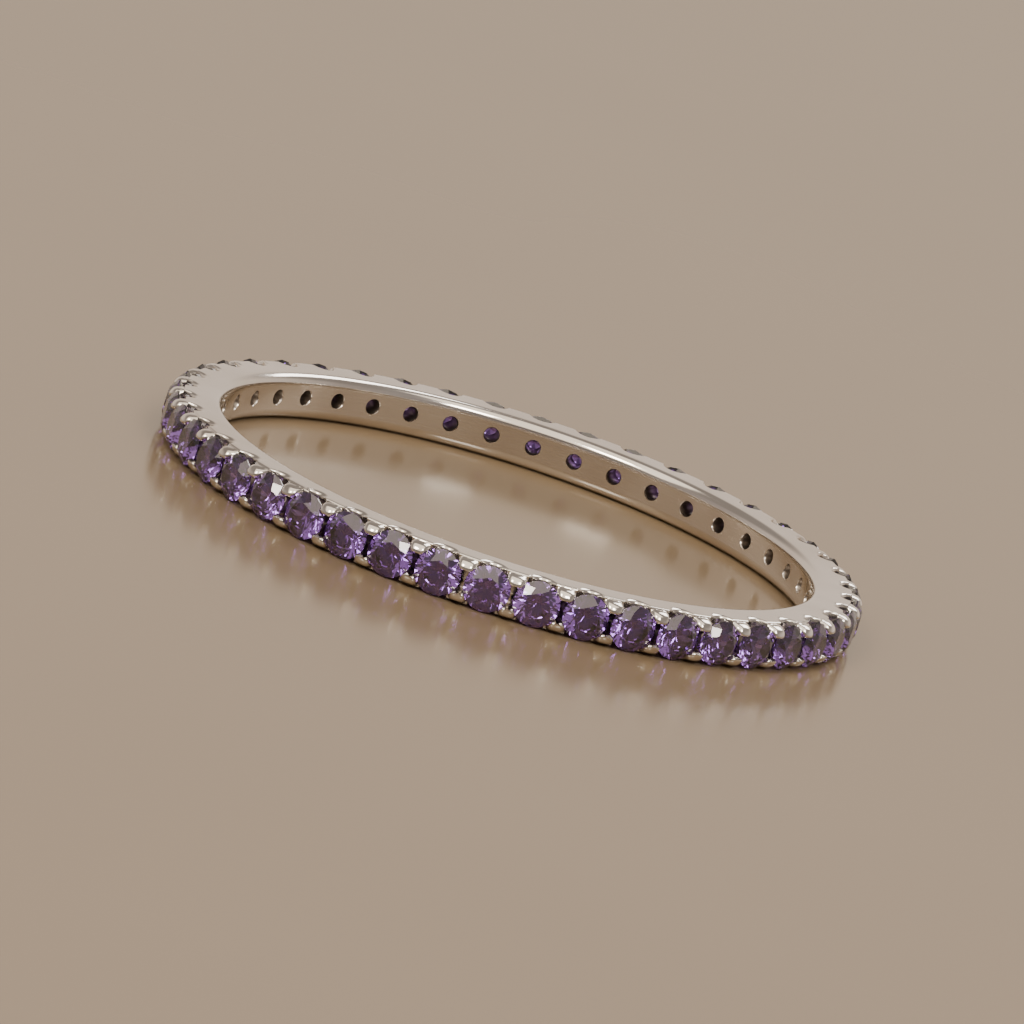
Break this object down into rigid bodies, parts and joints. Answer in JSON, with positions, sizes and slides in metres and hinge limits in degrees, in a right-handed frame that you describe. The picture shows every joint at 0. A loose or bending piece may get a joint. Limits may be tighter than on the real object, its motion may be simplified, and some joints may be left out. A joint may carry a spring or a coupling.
{
  "type": "stackable eternity ring",
  "caption": "Slim round finger ring, set all the way round with violet brilliant-cut stones that share prongs along both edges.",
  "frame": {"origin": "on the axis of the finger opening, level with the lower side face on which the ring lies", "axes": "+Z along the axis of the finger opening, up through the ring as it lies on its side; +X and +Y in the plane of the side faces, each through the middle of a stone"},
  "size_m": [0.0204, 0.0204, 0.0013],
  "materials": {
    "polished_silver": "sterling silver, polished and rhodium plated, mirror bright",
    "violet_stone": "violet cubic zirconia, cut as a round brilliant, polished and clear"
  },
  "bodies": {
    "root": {"band": "polished_silver", "stone_01": "violet_stone", "stone_02": "violet_stone", "stone_03": "violet_stone", "stone_04": "violet_stone", "stone_05": "violet_stone", "stone_06": "violet_stone", "stone_07": "violet_stone", "stone_08": "violet_stone", "stone_09": "violet_stone", "stone_10": "violet_stone", "stone_11": "violet_stone", "stone_12": "violet_stone", "stone_13": "violet_stone", "stone_14": "violet_stone", "stone_15": "violet_stone", "stone_16": "violet_stone", "stone_17": "violet_stone", "stone_18": "violet_stone", "stone_19": "violet_stone", "stone_20": "violet_stone", "stone_21": "violet_stone", "stone_22": "violet_stone", "stone_23": "violet_stone", "stone_24": "violet_stone", "stone_25": "violet_stone", "stone_26": "violet_stone", "stone_27": "violet_stone", "stone_28": "violet_stone", "stone_29": "violet_stone", "stone_30": "violet_stone", "stone_31": "violet_stone", "stone_32": "violet_stone", "stone_33": "violet_stone", "stone_34": "violet_stone", "stone_35": "violet_stone", "stone_36": "violet_stone", "stone_37": "violet_stone", "stone_38": "violet_stone", "stone_39": "violet_stone", "stone_40": "violet_stone", "stone_41": "violet_stone", "stone_42": "violet_stone", "stone_43": "violet_stone", "stone_44": "violet_stone"}
  },
  "joints": []
}
